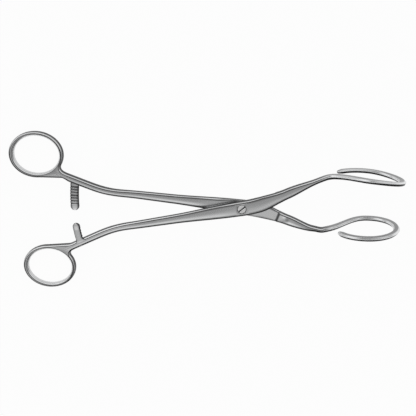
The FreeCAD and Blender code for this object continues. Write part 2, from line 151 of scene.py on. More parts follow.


# %% [markdown]
# ## Painted light and shade on the edges
# Each bar gets one light and one nearly black edge painted into its colour: painted light on the edge towards
# +Y of the frame and painted shade on the edge away from it. Lamps could do that for one bar and would miss
# the next. So each of the twelve points of an edge has a tone, a share of the steel's colour, in one list for
# the lit edge and in another for the shaded one. The columns of a section run over the plus edge, the lower
# flat, the minus edge and the upper flat, and the first one comes again.

# %% Section and its tones
def mirrored(*half):
    """Twelve tones of an edge: six from the upper flat to the wall, and the same six backwards."""
    return np.array(half + half[::-1])


# tones of an edge: a painted highlight on the facet, painted shade on the ridge, the facet's foot, the rim and the
# wall
FLAT, RIDGE, FACET, FACET_FOOT_SHADE, RIM, WALL = 1.0, 0.03, 1.3, 0.5, 0.02, 0.06
LIT_EDGE_TONE = mirrored(0.4, RIDGE, FACET, FACET_FOOT_SHADE, RIM, WALL)
SHADED_EDGE_TONE = mirrored(0.45, 0.1, 0.05, 0.04, 0.04, WALL)
FLAT_STEPS = 8
LOWER, MINUS = EDGE_POINTS, EDGE_POINTS + FLAT_STEPS - 1
UPPER, LAST = MINUS + EDGE_POINTS, MINUS + EDGE_POINTS + FLAT_STEPS - 1
IN_UPPER = slice(UPPER, LAST)


def closed_section(plus, minus, low, high, break_low, break_high, crown_low, crown_high, rounding=ROUNDING):
    """Closed loop of a bar's section: one edge, the lower flat, the other edge mirrored, the upper flat.

    A flat rises from its edges by its crown, times one less the square of the place across it."""
    edge = edge_profile(low, high, break_low, break_high, crown_low, crown_high, rounding)
    right = np.stack([plus[:, None] - edge[..., 0], edge[..., 1]], -1)
    left = np.stack([edge[..., 0] - minus[:, None], edge[..., 1]], -1)[:, ::-1]
    share = np.arange(1, FLAT_STEPS)[None, :, None] / FLAT_STEPS
    lower = right[:, -1:] * (1 - share) + left[:, :1] * share
    upper = left[:, -1:] * (1 - share) + right[:, :1] * share
    arch = 1.0 - (2.0 * share[..., 0] - 1.0) ** 2
    lower[..., 1] -= crown_low[:, None] * arch
    upper[..., 1] += crown_high[:, None] * arch
    return np.concatenate([right, lower, left, upper, right[:, :1]], 1)


def round_section(plus, minus, flat=(FLAT, FLAT)):
    """Tones round a section, from those of its two edges and of its flats' plus and minus sides."""
    flats = np.linspace(flat[0], flat[1], FLAT_STEPS - 1)
    return np.concatenate([plus, flats, minus[::-1], flats[::-1], plus[:1]])


def by_side(arm, lit_tones, shaded_tones):
    """Tones of the plus and minus edge: painted light towards +Y of the frame, painted shade away from it."""
    return (shaded_tones, lit_tones) if arm["name"] == "front" else (lit_tones, shaded_tones)


print("points round a section", LAST)

# %% [markdown]
# ## From grids to a closed mesh
# Every form below is one or more grids of points. The helper joins the points that fall together, so a
# grid closes on itself or on its neighbour without a gap, drops the corner that repeats at a pole, and
# turns all faces outwards. Weighted normals keep the flats flat and let the small radii shade softly.

# %% Patches and their mesh
WELD_STEPS_IN_MM = 1e4


def patch(points, tone):
    """A grid of points with a tone and a map: metres along its rows, and metres across them."""
    steps = [np.linalg.norm(np.diff(points, axis=k), axis=-1).max(1 - k) for k in (0, 1)]
    u, v = [np.concatenate([[0.0], np.cumsum(step)]) for step in steps]
    mapped = np.stack(np.broadcast_arrays(u[:, None], v[None, :]), -1) / MM_IN_METRE
    keep = np.ones((len(u) - 1, len(v) - 1), bool)
    return dict(points=points, tone=np.broadcast_to(tone, points.shape[:2]), mapped=mapped, keep=keep)


def corners_of(patches):
    """Four point numbers for each kept cell of each grid, counted through all the grids."""
    found, start = [], 0
    for grid in patches:
        n, m = grid["points"].shape[:2]
        index = start + np.arange(n * m).reshape(n, m)
        cell = np.stack([index[:-1, :-1], index[1:, :-1], index[1:, 1:], index[:-1, 1:]], -1)
        found.append(cell[grid["keep"]])
        start += n * m
    return np.concatenate(found)


def in_row_frame(points, arm):
    """Metres in the frame of the solid model: the front arm is turned half a turn about X."""
    turned = points * np.array([1.0, -1.0, -1.0]) if arm["name"] == "front" else points
    return (turned + np.array([0.0, 0.0, JOINT_HALF])) / MM_IN_METRE


def solid_piece(name, patches, arm, body):
    """One closed object from grids: points on the same 0.0001 mm become one, then faces and attributes."""
    cells = corners_of(patches)
    points = np.concatenate([g["points"].reshape(-1, 3) for g in patches])
    tone = np.concatenate([g["tone"].reshape(-1) for g in patches])
    mapped = np.concatenate([g["mapped"].reshape(-1, 2) for g in patches])
    _, first, joined = np.unique(np.round(points * WELD_STEPS_IN_MM).astype(np.int64), axis=0,
                                 return_index=True, return_inverse=True)
    welded = joined.reshape(-1)[cells]
    distinct = welded != np.roll(welded, -1, axis=1)
    corners = distinct.sum(1)
    quads, threes = corners == 4, corners == 3
    faces = welded[quads].tolist() + welded[threes][distinct[threes]].reshape(-1, 3).tolist()
    loops = np.concatenate([cells[quads].reshape(-1), cells[threes][distinct[threes]]])
    mesh = bpy.data.meshes.new(name)
    mesh.from_pydata(in_row_frame(points[first], arm).tolist(), [], faces)
    mesh.uv_layers.new(name="brushing").data.foreach_set("uv", mapped[loops].astype(np.float32).reshape(-1))
    mesh.attributes.new("tone", "FLOAT", "CORNER").data.foreach_set("value", tone[loops].astype(np.float32))
    outward(mesh)
    piece = add_object(name, mesh)
    normals = piece.modifiers.new("flats", "WEIGHTED_NORMAL")
    normals.weight = 60
    normals.keep_sharp = True
    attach(piece, body)
    return piece


def add_object(name, data):
    """A new object of the scene that shows a mesh, a lamp or a camera."""
    made = bpy.data.objects.new(name, data)
    bpy.context.scene.collection.objects.link(made)
    return made


def outward(mesh):
    """Turns every face of a closed mesh outwards and shades it smoothly."""
    shell = bmesh.new()
    shell.from_mesh(mesh)
    bmesh.ops.recalc_face_normals(shell, faces=shell.faces)
    loose = sum(1 for edge in shell.edges if len(edge.link_faces) != 2)
    print(mesh.name, "faces", len(shell.faces), "open edges", loose, "volume mm3",
          round(shell.calc_volume(signed=True) * MM_IN_METRE ** 3, 1))
    shell.to_mesh(mesh)
    shell.free()
    mesh.polygons.foreach_set("use_smooth", np.ones(len(mesh.polygons), bool))


# %% [markdown]
# ## Shank, lap joint, jaw and loop
# This is the long forging: it starts at the ring's web, swells into the flat half of the lap joint, steps
# up at the shoulder, tapers to the heel and runs once round the open loop to a blunt end. It could be made
# of several bars, but the real one has no seams, so one section is carried along one path.

# %% Widths along the shank
PLAY, JOINT_WIDTH, JAW_WIDTH = 0.05, 8.85, 2.9
HANDLE_WIDTH, HANDLE_DEPTH, TAPER, TAPER_LENGTH = 4.15, 4.2, 3.0, 75.0
EDGE_BREAK, MATING_BREAK, LAP_BREAK_SHARE = 0.9, 0.15, 0.55
LAP, STEP_RUN, GAP_HALF = 20.5, 0.35, 3.6
SHOULDER = LAP + STEP_RUN
HANDLE_ROWS, GAP_ROWS, LAP_ROWS = 92, 15, 28
# where each smooth change begins, counted from the screw, and its length
HANDLE_SWELL, JAW_SWELL, LAP_SWELL = (6.0, 34.0), (26.0, 18.0), (10.0, 16.0)
HANDLE_THINS, HANDLE_FACET, LAP_FACET = (60.0, 24.0), (5.0, 11.0), (7.0, 6.0)


def handle_width(reach):
    """Base width, plus an even taper, plus the lap joint's swelling that fades by the smooth step."""
    taper = TAPER * np.maximum(1.0 - reach / TAPER_LENGTH, 0.0)
    swell = JOINT_WIDTH - HANDLE_WIDTH - TAPER
    return HANDLE_WIDTH + taper + swell * (1.0 - over(reach, *HANDLE_SWELL))


def jaw_shank_width(reach):
    """Width before the loop, plus two swellings that fade one after the other."""
    wide = JAW_WIDTH + JAW_WIDTH * (1.0 - over(reach, *JAW_SWELL))
    return wide + (JOINT_WIDTH - 2 * JAW_WIDTH) * (1.0 - over(reach, *LAP_SWELL))


def shank_stations(arm):
    """Sections from the web to the shoulder: reach is negative on the handle and positive on the lap.

    The sizes of a section are its half width, its low and high face, and its lower and upper facet."""
    delta = 0.1
    reach = np.concatenate([np.linspace(-JUNCTION, -GAP_HALF, HANDLE_ROWS),
                            np.linspace(-GAP_HALF, GAP_HALF, GAP_ROWS)[1:],
                            np.linspace(GAP_HALF, LAP - 3 * delta, LAP_ROWS)[1:], [LAP - delta, LAP]])
    handle, distance = reach < 0, np.abs(reach)
    side = np.where(handle, handle_side(arm, distance), -jaw_side(distance))
    rise = np.where(handle, handle_side(arm, distance - delta) - handle_side(arm, distance + delta),
                    jaw_side(distance - delta) - jaw_side(distance + delta))
    centre = np.stack([reach, side, 0 * reach], -1)
    along = unit(np.stack([np.full_like(reach, 2 * delta), rise, 0 * reach], -1))
    across = np.stack([-along[:, 1], along[:, 0], 0 * reach], -1)
    half = np.where(handle, handle_width(distance), jaw_shank_width(distance)) / 2
    thin = np.where(handle, over(distance, *HANDLE_THINS), 0.0)
    low = -JOINT_HALF + (JOINT_HALF - HANDLE_DEPTH / 2) * thin
    high = -PLAY + (HANDLE_DEPTH / 2 + PLAY) * thin
    facet = np.where(handle, over(distance, *HANDLE_FACET), LAP_BREAK_SHARE * over(distance, *LAP_FACET))
    upper_break = MATING_BREAK + (EDGE_BREAK - MATING_BREAK) * facet
    return centre, along, across, np.stack([half, low, high, np.full_like(reach, EDGE_BREAK), upper_break]), reach


print("handle width at the web and at the screw", handle_width(np.array([JUNCTION, 0.0])))

# %% Path of the loop
LOOP_WIDEST, LOOP_HALF, LOOP_MERGE = 23.6, 15.0, 12.0
HEEL_ROUND, BRANCH_POWER, TIP_SHORT = 0.6, 0.8, 0.1
BRANCH_ROWS, TIP_ROWS, FREE_ROWS = 110, 62, 44


def loop_place(arm, u, w):
    """Point at u along the loop and w across it: the leaning, bowed loop line joined to the jaw shank.

    The join is the mean of both lines minus the root of a quarter of their squared difference plus a small
    square, which rounds the heel, and the smooth step then hands over to the loop's own line. The kick is a
    bell curve a quarter of the merging length before the heel."""
    lean = math.radians(arm["lean"])
    reach = arm["heel_reach"] + u * math.cos(lean)
    bowed = arm["bow"] * np.sin(math.pi * np.clip(u / arm["loop_length"], 0, 1))
    line = arm["heel_side"] - u * math.sin(lean) + bowed
    line = line + arm["kick"] * np.exp(-(4.0 * u / LOOP_MERGE + 1.0) ** 2)
    shank = jaw_side(reach)
    side = (line + shank) / 2 - np.sqrt(((line - shank) / 2) ** 2 + HEEL_ROUND ** 2)
    side = side + (line - side) * over(u, LOOP_MERGE / 3, 2 * LOOP_MERGE / 3)
    turn = loop_twist(arm, u)
    return np.stack([reach, -side + w * np.sin(turn), w * np.cos(turn)], -1)


def loop_twist(arm, u):
    """Twist about the loop's length: none at the shoulder, all of it at the heel."""
    share = over(arm["heel_reach"] + u, SHOULDER, arm["heel_reach"] - SHOULDER)
    return math.radians(arm["twist"]) * share


def attached(arm, u):
    """Branch that leaves the shank: across is minus half of the width times a power of a raised cosine."""
    rise = 0.5 - 0.5 * np.cos(math.pi * np.clip(u / LOOP_WIDEST, 0, 1))
    return loop_place(arm, u, -LOOP_HALF * rise ** BRANCH_POWER)


def round_tip(arm, angle):
    """Half an ellipse round the far end."""
    tip = arm["loop_length"] - LOOP_WIDEST - TIP_SHORT
    return loop_place(arm, LOOP_WIDEST + tip * np.cos(angle), LOOP_HALF * np.sin(angle))


def free_branch(arm, angle):
    """Part of an ellipse that comes back towards the heel and stops short of it."""
    back = LOOP_WIDEST * arm["close"]
    return loop_place(arm, LOOP_WIDEST - back * np.sin(angle), LOOP_HALF * np.cos(angle))


def loop_stations(arm):
    """Sections from the shoulder, past the heel and round the loop to the blunt end."""
    lean = math.radians(arm["lean"])
    first = (SHOULDER - arm["heel_reach"]) / math.cos(lean)
    u = np.concatenate([[first], np.linspace(first + 0.15, LOOP_WIDEST, BRANCH_ROWS)])
    tip = np.radians(np.linspace(-90, 90, TIP_ROWS))[1:]
    free = np.linspace(0.0, math.radians(arm["free_angle"]), FREE_ROWS)[1:]
    runs = [(attached, u, 0.02), (round_tip, tip, 0.001), (free_branch, free, 0.001)]
    centre = np.concatenate([curve(arm, t) for curve, t, _ in runs])
    along = unit(np.concatenate([curve(arm, t + d) - curve(arm, t - d) for curve, t, d in runs]))
    u_all = np.concatenate([u, np.full(len(tip) + len(free), LOOP_WIDEST)])
    turned = np.where(u_all < LOOP_WIDEST, loop_twist(arm, u_all), math.radians(arm["twist"]))
    normal = np.stack([np.full_like(turned, math.sin(lean)), math.cos(lean) * np.cos(turned), -np.sin(turned)], -1)
    across = unit(normal - along * np.sum(normal * along, -1, keepdims=True))
    return centre, along, across, u_all


print("rear loop ends at", np.round(free_branch(REAR, np.radians([REAR["free_angle"]])), 1).tolist())

# %% Sections of jaw and loop
LOOP_THICK, LOOP_DEEP, LOOP_BREAK = 2.6, 3.8, 0.85
JAW_DEPTH, JAW_RISE, JAW_SINKS = 4.1, 1.0, 18.0
BLUNT_RUN, BLUNT_SHRINK, CLOSING_RUN = 2.9, 0.38, 0.7
STEP_ROWS = np.array([0.06, 0.14, 0.22, 0.30])
CROWN, LOOP_CROWN, HOLLOW = 0.13, 0.32, 0.3
CROWN_FADE, LOOP_FADE, MATING_FADE, MATING_RUN = (4.0, 12.0), (44.0, 8.0), (14.0, 16.0), 6.0
HOLLOW_BELL = (3.2, 1.5)
TINY = 1e-6


def loop_sizes(arm, u):
    """The jaw shank's section fades into the loop's bar over the merging length, by the smooth step."""
    reach = arm["heel_reach"] + u
    share = over(u, 0.0, LOOP_MERGE)
    deeper = 1.0 - over(reach, SHOULDER, JAW_SINKS)
    deep = JAW_DEPTH / 2
    low = -(deep + (JOINT_HALF - deep) * deeper)
    high = deep + (JAW_RISE - deep) * deeper
    wide = jaw_shank_width(reach)
    half = (wide + (LOOP_THICK - wide) * share) / 2
    low = low + (-LOOP_DEEP / 2 - low) * share
    high = high + (LOOP_DEEP / 2 - high) * share
    edge = EDGE_BREAK + (LOOP_BREAK - EDGE_BREAK) * share
    return np.stack([half, low, high, edge, edge])


def blunt_end(centre):
    """How much the section shrinks: evenly over the blunt run, then by a quarter circle to 0.45."""
    left = np.linalg.norm(centre[-1] - centre, axis=-1)
    left[:len(left) // 2] = np.inf
    scale = 1.0 - BLUNT_SHRINK * np.clip(1.0 - left / BLUNT_RUN, 0, 1)
    rounded = np.sqrt(np.clip(1.0 - (1.0 - np.clip(left / CLOSING_RUN, 0, 1)) ** 2, 0.0, 1.0))
    return scale * (0.45 + 0.55 * rounded)


# %% Painted light and shade of jaw and loop
# on the loop: painted light on the edge and flat towards +Y, painted shade on the other edge and flat
LOOP_LIT_EDGE = mirrored(1.1, 1.05, 1.05, 0.9, 0.45, 0.35)
LOOP_SHADED_EDGE = mirrored(0.2, 0.06, 0.02, 0.02, 0.02, 0.05)
LOOP_FLATS = (1.05, 0.3)
ACROSS_FLAT = np.linspace(-1, 1, FLAT_STEPS + 1)[1:-1]
HEEL_COLUMNS = slice(MINUS + EDGE_POINTS // 2, UPPER + FLAT_STEPS // 2)
# painted shade on a line at the shoulder, in the dent behind it and on the rear heel; painted light behind the
# shoulder and on the rear lap
# places and runs past the shoulder, except for the heel and the lap, which count from the screw
LINE_FROM, LINE_TO, SHOULDER_LINE_SHADE = -0.75, 0.35, 0.22
LIGHT, LIGHT_BELL, DENT_SHADE, DENT_SHADE_BELL = 0.35, (3.0, 5.0), 0.6, (4.9, 1.2)
HEEL_SHADE, HEEL_BELL, LAP_LIGHT, LAP_FADE, LAP_ENDS = 0.97, (43.5, 8.0), 0.3, (5.0, 3.0), 0.5


def bar_tones(arm, x):
    """Painted light and shade on the shank and the loop's own beyond it, times what the shoulder and heel add.

    Behind the shoulder's painted dark line the flat has painted light, with painted shade in the dent. The
    rear arm has painted shade on its heel and painted light on its lap, which lies open beside the front arm."""
    on_loop = over(x, *LOOP_FADE)[:, None]
    plain = round_section(*by_side(arm, LIT_EDGE_TONE, SHADED_EDGE_TONE))
    even = round_section(*by_side(arm, LOOP_LIT_EDGE, LOOP_SHADED_EDGE), by_side(arm, *LOOP_FLATS))
    tone = plain * (1 - on_loop) + even * on_loop
    past = x - SHOULDER
    light = 1.0 + LIGHT * bell(past, *LIGHT_BELL)
    tone[:, UPPER - 1:] *= np.where((past > LINE_FROM) & (past < LINE_TO), SHOULDER_LINE_SHADE, light)[:, None]
    tone[:, IN_UPPER] *= 1.0 - DENT_SHADE * bell(past, *DENT_SHADE_BELL)[:, None] * (1.0 - ACROSS_FLAT ** 2)
    if arm["name"] == "rear":
        tone[:, HEEL_COLUMNS] *= 1.0 - HEEL_SHADE * bell(x, *HEEL_BELL)[:, None]
        tone[:, IN_UPPER] *= 1.0 + LAP_LIGHT * (over(x, *LAP_FADE) * ease((SHOULDER - x) / LAP_ENDS))[:, None]
    return tone


# %% The bar in one grid
def bar_grid(arm):
    """Grid of the whole bar: centre plus across times one number of the section plus upward times the other."""
    centre, along, across, sizes, reach = shank_stations(arm)
    loop_centre, loop_along, loop_across, u = loop_stations(arm)
    loop = loop_sizes(arm, u)
    step = STEP_ROWS / STEP_RUN
    climb = centre[-1:] + (loop_centre[:1] - centre[-1:]) * step[:, None]
    riser = sizes[:, -1:] + (loop[:, :1] - sizes[:, -1:]) * ease(step)
    centre = np.concatenate([centre, climb, loop_centre, loop_centre[-1:]])
    along = np.concatenate([along, np.repeat(along[-1:], len(step), 0), loop_along, loop_along[-1:]])
    across = np.concatenate([across, np.repeat(across[-1:], len(step), 0), loop_across, loop_across[-1:]])
    sizes = np.concatenate([sizes, riser, loop * blunt_end(loop_centre), np.zeros((len(sizes), 1))], 1)
    half, low, high, break_low, break_high = sizes
    x, wide = centre[:, 0], np.maximum(half, TINY)
    crown = CROWN * np.maximum(half - EDGE_BREAK, 0.0) * (0.5 + 0.5 * over(np.abs(x), *CROWN_FADE))
    crown = crown + LOOP_CROWN * over(x, *LOOP_FADE) * np.minimum(half / (LOOP_THICK / 2), 1.0)
    mating = over(-x, *MATING_FADE) + over(x, SHOULDER, MATING_RUN)
    section = closed_section(wide, wide, low - TINY, high + TINY, break_low + TINY / 4,
                             break_high + TINY / 4, crown, crown * mating)
    hollow = HOLLOW * bell(x - SHOULDER, *HOLLOW_BELL)
    section[:, IN_UPPER, 1] -= hollow[:, None] * (1.0 - ACROSS_FLAT ** 2)
    section[-1] = 0.0
    upward = np.cross(along, across)
    points = centre[:, None] + across[:, None] * section[..., :1] + upward[:, None] * section[..., 1:]
    return points, bar_tones(arm, x), reach


bar = bar_grid(REAR)[0]
print("rear bar grid", bar.shape, "runs from", np.round(bar[0, 0], 1), "to", np.round(bar[-1, 0], 1))

# %% [markdown]
# ## The hole for the screw
# The screw's head sinks into the front arm, and its thread goes into the rear one. A Boolean modifier would
# cut the hole, but it leaves ragged shading on the flat. Here the cells of the grid round the screw are
# left out instead, and a ring of cells goes from that gap to the circle, down the wall and out again.

# %% Cells round the pivot
GAP_COLUMNS = slice(LOWER - 1, MINUS), slice(UPPER - 1, LAST)
FLAT_HALF = 3.5


def gap_loops(points, reach):
    """The two closed rows of grid points round the gap: on the outer flat and on the mating flat."""
    first, last = [int(np.searchsorted(reach, end - TINY)) for end in (-GAP_HALF, GAP_HALF)]
    down, up = list(range(LOWER - 1, MINUS + 1)), list(range(LAST, UPPER - 2, -1))
    rows = list(range(first, last + 1))

    def loop(columns):
        cells = [(first, c) for c in columns] + [(r, columns[-1]) for r in rows[1:]]
        cells += [(last, c) for c in columns[::-1][1:]] + [(r, columns[0]) for r in rows[::-1][1:]]
        return points[tuple(np.array(cells).T)]

    return loop(down), loop(up), first, last


def screw_hole(points, reach, steps):
    """Grid from the gap on the outer flat through circles of given radius and height to the mating flat.

    The first two circles follow the flat's crown: they fall by the square of their place across it."""
    outer, mating, first, last = gap_loops(points, reach)
    angle = np.arctan2(outer[:, 1], outer[:, 0])
    fall = 0.5 * CROWN * FLAT_HALF * (steps[0][0] * np.sin(angle) / FLAT_HALF) ** 2
    circles = [circle(r, angle, z + fall * (i < 2)) for i, (r, z) in enumerate(steps)]
    return np.stack([outer] + circles + [mating]), first, last


# circles of each hole as radius and height, from the outer flat to the mating flat
HOLES = {
    "front": [(2.75, -3.2), (2.55, -3.02), (2.55, -2.06), (2.52, -2.03), (1.74, -2.03), (1.7, -1.99), (1.7, -0.13),
              (1.78, -0.05)],
    "rear": [(1.74, -3.2), (1.66, -3.12), (1.66, -0.13), (1.74, -0.05)],
}
print("rows of the counterbored hole", len(HOLES["front"]) + 2)

# %% [markdown]
# ## Finger ring and web
# The ring is an oval of flat bar, and a thin web of the same thickness fills the corner where it meets the
# shank. A ring swept on its own and fused to a plate shows a seam. Instead one outline goes from the
# shank's upper edge, through the hollow, round the ring and back along the web, a second one is the oval
# hole, and the surface between them is a grid that joins the shank's last section exactly.

# %% Outlines of the grip
RING_REACH, RING_LONG, RING_SHORT, RING_BAR, RING_HALF_DEPTH = 118.2, 14.846, 12.497, 2.5, 3.8 / 2
RING_FROM, RING_TO, RING_ROWS = -28.0, 272.0, 151
RATCHET_OUTER = RING_REACH - RING_LONG - 1.95
SHANK_END, HOLLOW_FROM, HOLLOW_SWING = 0.72, 1.75, 1.5
WEB_FILLET, WEB_FALL, WEB_SWING, WEB_THINS, WEB_FLATTENS = 3.6, 0.6, 0.9, 6.0, 4.0
HOLE_SHIFT, HOLE_NARROWER, HOLE_BREAK = np.array([0.25, 0.0]), 0.2, 0.95
# on the hole's edge: painted shade on the ridge and a painted highlight on its facet; the ring's flats a little
# darker towards the hole
HOLE_TONE = mirrored(0.6, 0.1, 1.1, 1.0, 0.9, 0.8)
RING_TONE = [FLAT, 0.92, 0.92]
LIT_BEHIND = 0.45


def ring_centre(arm):
    """The oval's centre: beyond the end of the shank's line by its half width, less the drop."""
    side = handle_side(arm, RING_REACH - SHANK_END * RING_LONG)
    return np.array([-RING_REACH, side + RING_SHORT - arm["ring_drop"]])


def oval(centre, long, short, degrees):
    """Point of an ellipse at an angle, and the unit vector that points out of it."""
    turn = np.radians(degrees)
    point = centre + np.stack([long * np.cos(turn), short * np.sin(turn)], -1)
    return point, unit(np.stack([np.cos(turn) / long, np.sin(turn) / short], -1))


def hermite(start, finish, leave, arrive, count):
    """Cubic curve between two points with given directions at its ends, without its first point."""
    s = np.linspace(0, 1, count + 1)[1:, None]
    return ((2 * s ** 3 - 3 * s ** 2 + 1) * start + (s ** 3 - 2 * s ** 2 + s) * leave
            + (3 * s ** 2 - 2 * s ** 3) * finish + (s ** 3 - s ** 2) * arrive)


def outer_outline(arm, first_section):
    """Open outline from the shank's upper edge round the ring to its lower edge, with outward normals."""
    centre, along, across, half = first_section
    middle = ring_centre(arm)
    long, short = RING_LONG + RING_BAR / 2, RING_SHORT + RING_BAR / 2
    upper, lower = centre + across * half, centre - across * half
    hollow_start = upper - along * (RING_REACH - RING_LONG - HOLLOW_FROM - JUNCTION) / along[0]
    ring, _ = oval(middle, long, short, np.linspace(RING_FROM, RING_TO, RING_ROWS))
    tangent = (ring[1] - ring[0]) / np.linalg.norm(ring[1] - ring[0])
    chord = np.linalg.norm(ring[0] - hollow_start)
    hollow = hermite(hollow_start, ring[0], -along * chord * HOLLOW_SWING, tangent * chord * HOLLOW_SWING, 22)
    corner = np.array([-RATCHET_OUTER - WEB_FILLET, middle[1] - short - WEB_FALL])
    edge = corner - ring[-1]
    web_edge = ring[-1] + edge * np.linspace(0, 1, 10)[1:, None]
    chord = np.linalg.norm(lower - corner)
    heading = edge / np.linalg.norm(edge)
    fillet = hermite(corner, lower, heading * chord, along * chord * WEB_SWING, 16)
    start = upper + (hollow_start - upper) * np.linspace(0, 1, 5)[:, None]
    outline = np.concatenate([start, hollow, ring[1:], web_edge, fillet])
    step = np.gradient(outline, axis=0)
    normal = unit(np.stack([step[:, 1], -step[:, 0]], -1))
    normal[0], normal[-1] = across, -across
    before = len(start) + len(hollow) - 1
    return outline, normal, before, before + len(ring) - 1


def grip_thickness(x):
    """Half of the thickness: the shank's at the junction, the ring's beyond the web."""
    return RING_HALF_DEPTH + (HANDLE_DEPTH / 2 - RING_HALF_DEPTH) * (1.0 - over(-x, JUNCTION, WEB_THINS))


def inner_angles(outline, ring_first, ring_last, junction):
    """Angle on the oval hole for each station: the ring's own, and shared out by length over the web."""
    closed = np.concatenate([outline, junction])
    step = np.linalg.norm(np.roll(closed, -1, axis=0) - closed, axis=-1)
    order = np.roll(np.arange(len(closed)), -ring_last)
    web = order[:len(closed) - (ring_last - ring_first)]
    run = np.concatenate([[0.0], np.cumsum(step[web])])[:len(web)]
    total = run[-1] + step[web[-1]]
    angles = np.zeros(len(closed))
    angles[ring_first:ring_last + 1] = np.linspace(RING_FROM, RING_TO, ring_last - ring_first + 1)
    angles[web] = RING_TO + (RING_FROM + 360.0 - RING_TO) * run / total
    angles[ring_first] = RING_FROM + 360.0
    return angles


def grip_patches(arm, bar_points, section):
    """Outer wall over the open outline, and flats with the hole's wall over the closed one.

    The wall has painted light where its outline faces +Y of the frame and a little backwards, else painted shade."""
    outline, normal, ring_first, ring_last = outer_outline(arm, section)
    thick = grip_thickness(outline[:, 0])
    crown = CROWN * (HANDLE_WIDTH / 2 - EDGE_BREAK) * (1.0 - over(-outline[:, 0], JUNCTION, WEB_FLATTENS))
    edge = edge_profile(-thick, thick, EDGE_BREAK, EDGE_BREAK, crown, crown)
    flat = outline[:, None] - normal[:, None] * edge[..., :1]
    wall = np.concatenate([flat, edge[..., 1:]], -1)
    wall[0], wall[-1] = bar_points[0, :EDGE_POINTS], bar_points[0, UPPER - 1:MINUS - 1:-1]
    junction = bar_points[0, IN_UPPER]
    angles = inner_angles(wall[:, 0, :2], ring_first, ring_last, junction[:, :2])
    hole, out = oval(ring_centre(arm) + HOLE_SHIFT, RING_LONG - RING_BAR / 2 - HOLE_NARROWER,
                     RING_SHORT - RING_BAR / 2, angles)
    top = np.concatenate([wall[:, 0], junction])
    bottom = np.concatenate([wall[:, -1], junction * np.array([1, 1, -1])])
    rim = grip_thickness(hole[:, 0])
    inner = edge_profile(-rim, rim, HOLE_BREAK, HOLE_BREAK, 0.0, 0.0)
    hole_wall = np.concatenate([hole[:, None] + out[:, None] * inner[..., :1], inner[..., 1:]], -1)
    share = np.array([0.0, 0.33, 0.67, 1.0])[None, :, None]
    upper = top[:, None] * (1 - share) + hole_wall[:, :1] * share
    lower = hole_wall[:, -1:] * (1 - share) + bottom[:, None] * share
    ring = np.concatenate([upper[:, :-1], hole_wall, lower[:, 1:]], 1)
    ring = np.concatenate([ring, ring[:1]])
    ring_tone = np.concatenate([RING_TONE, HOLE_TONE, RING_TONE[::-1]])
    facing = normal @ np.array([LIT_BEHIND, -1.0 if arm["name"] == "front" else 1.0])
    lit = ease(0.5 + facing)[:, None]
    return [patch(wall, LIT_EDGE_TONE * lit + SHADED_EDGE_TONE * (1.0 - lit)), patch(ring, ring_tone)]


# %% Forge both arms
def forging(arm, body):
    """Bar, hole and grip in one closed piece."""
    points, tone, reach = bar_grid(arm)
    steps = HOLES[arm["name"]]
    hole, first, last = screw_hole(points, reach, steps)
    bar = patch(points, tone)
    for columns in GAP_COLUMNS:
        bar["keep"][first:last, columns] = False
    centre, along, across, sizes, _ = shank_stations(arm)
    section = (centre[0, :2], along[0, :2], across[0, :2], sizes[0, 0])
    # painted shade down the screw hole: a little at its rim, more inside
    hole_shade = np.array([FLAT, 0.7] + [0.3] * (len(steps) - 1) + [FLAT])[:, None]
    parts = [bar, patch(hole, hole_shade)] + grip_patches(arm, points, section)
    return solid_piece(arm["name"] + "_forged_arm", parts, arm, body)


rear_forging = forging(REAR, "rear_half")
front_forging = forging(FRONT, "front_half")
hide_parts("rear_arm")
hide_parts("front_arm")

# %% [markdown]
# ## Ratchet bars
# Below each ring a short bar points at the other arm. It carries saw teeth on the face that meets its
# partner, so that the arms lock in steps. Cutting the teeth with a repeated Boolean is slow, and their edges
# come out razor sharp. The bar is a section carried along an arc about the screw, and its upper face simply
# follows the tooth line, with two stations at each edge that stand for the small radius.

# %% Teeth and bar
TOOTH_PITCH, TOOTH_DEPTH, TOOTH_LAND = 1.76, 0.7, 3.9
STEEP, GENTLE, EDGE_SOFT, EDGE_CLEAR = 0.25, 0.6, 0.06, 0.12
ROOT_INSIDE, ROOT_NARROW, ROOT_WIDENS = 0.6, 0.35, 1.8
INNER_FROM, OUTER_FROM, ROOT_RAISED, ROOT_SINKS = 3.0, 0.2, 0.2, (0.5, 2.0)
LOW_PLAY, LOW_DOME, HIGH_DOME = 0.03, 0.5, 0.35
BAR_FACET, TOOTH_FACET, BAR_ROUNDING = 0.42, 0.22, 0.12
# painted shade on the ratchet's edges and in its grooves, and a painted highlight on its rounded tip
RATCHET_EDGE_SHADE = np.array([0.3, 0.12, 0.12, 0.1, 0.1, 0.06, 0.06, 0.04, 0.05, 0.08, 0.2, 1.0])
BORDER_TONE, GROOVE_SHADE, LAND_TONE, GROOVE_FROM, TIP_HIGHLIGHT, TIP_FROM = 0.8, 0.3, 0.85, 0.3, 1.5, 0.9


def tooth_drop(arm, y):
    """Depth of the groove at a distance from X along the arc: steep on one side and gentle on the other."""
    first = arm["ratchet_side"] + TOOTH_LAND
    phase = (y - first) / TOOTH_PITCH + STEEP
    inside = (phase >= 0) & (phase < arm["teeth"])
    groove = np.interp(phase % 1.0, [0.0, STEEP, STEEP + GENTLE, 1.0], [0.0, TOOTH_DEPTH, 0.0, 0.0])
    return np.where(inside, groove, 0.0)


